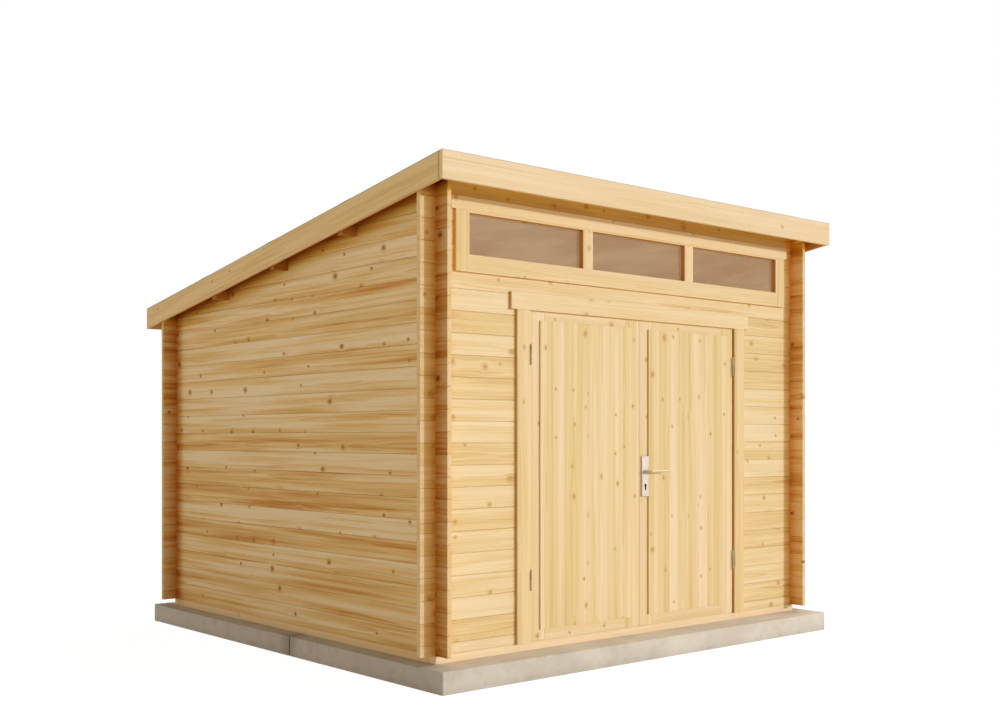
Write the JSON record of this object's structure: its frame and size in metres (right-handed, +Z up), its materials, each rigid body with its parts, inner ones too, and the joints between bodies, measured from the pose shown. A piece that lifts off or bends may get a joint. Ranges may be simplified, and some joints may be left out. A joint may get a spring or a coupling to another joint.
{
  "type": "garden tool shed",
  "caption": "Single-slope garden shed of interlocking timber boards with crossed corners, a boarded double door and a window strip under the eaves, on a concrete base.",
  "frame": {"origin": "under the middle of the roof's plan, on the underside of the concrete base", "axes": "+X to the right along the front with the double door, +Y to the back, +Z up"},
  "size_m": [3.237, 3.36, 2.686],
  "materials": {
    "spruce_boards": "planed untreated spruce wall boards with knots",
    "spruce_trim": "planed untreated spruce casings and edge boards",
    "spruce_door": "planed untreated spruce door timber",
    "bearer_timber": "sawn pale timber",
    "roof_timber": "planed untreated spruce, undercoated by shade only",
    "roofing_felt": "mineral-surfaced bitumen felt",
    "concrete": "cast concrete with floated edges",
    "glass_panes": "clear panes over a dim interior",
    "zinc_plated_steel": "zinc-plated hinge barrels",
    "lock_steel": "satin lock plate and lever"
  },
  "bodies": {
    "root": {"concrete_base": "concrete", "bearer_front": "bearer_timber", "bearer_back": "bearer_timber", "bearer_left": "bearer_timber", "bearer_right": "bearer_timber", "left_wall": "spruce_boards", "right_wall": "spruce_boards", "back_wall": "spruce_boards", "front_wall_left": "spruce_boards", "front_wall_right": "spruce_boards", "front_wall_over_door": "spruce_boards", "front_wall_window_ends": "spruce_boards", "front_wall_top": "spruce_boards", "window_head_board": "spruce_trim", "window_sill_board": "spruce_trim", "window_side_posts": "spruce_trim", "window_mullions": "spruce_trim", "window_glass": "glass_panes", "door_posts": "spruce_trim", "door_head": "spruce_trim", "door_stops": "spruce_trim", "hinge_pins": "zinc_plated_steel", "purlins": "roof_timber", "roof_deck": "roof_timber", "roof_felt": "roofing_felt", "eave_board_front": "spruce_trim", "eave_board_back": "spruce_trim", "verge_board_left": "spruce_trim", "verge_board_right": "spruce_trim"},
    "left_door": {"left_door_stiles": "spruce_door", "left_door_rails": "spruce_door", "left_door_boards": "spruce_door", "left_door_hinges": "zinc_plated_steel"},
    "right_door": {"right_door_stiles": "spruce_door", "right_door_rails": "spruce_door", "right_door_boards": "spruce_door", "right_door_hinges": "zinc_plated_steel", "lock_plates": "lock_steel"},
    "lever": {"lever": "lock_steel"}
  },
  "joints": [
    {"name": "left_door_swing", "type": "hinge", "parent": "root", "child": "left_door", "pos_m": [-0.8655, -1.5, 1], "axis": [0, 0, -1], "range_deg": [0, 160]},
    {"name": "right_door_swing", "type": "hinge", "parent": "root", "child": "right_door", "pos_m": [0.8655, -1.5, 1], "axis": [0, 0, 1], "range_deg": [0, 160]},
    {"name": "lever_turn", "type": "hinge", "parent": "right_door", "child": "lever", "pos_m": [0.0455, -1.473, 1.072], "axis": [0, 1, 0], "range_deg": [0, 40], "stiffness_Nm_per_rad": 1, "springref_deg": -51.57}
  ]
}
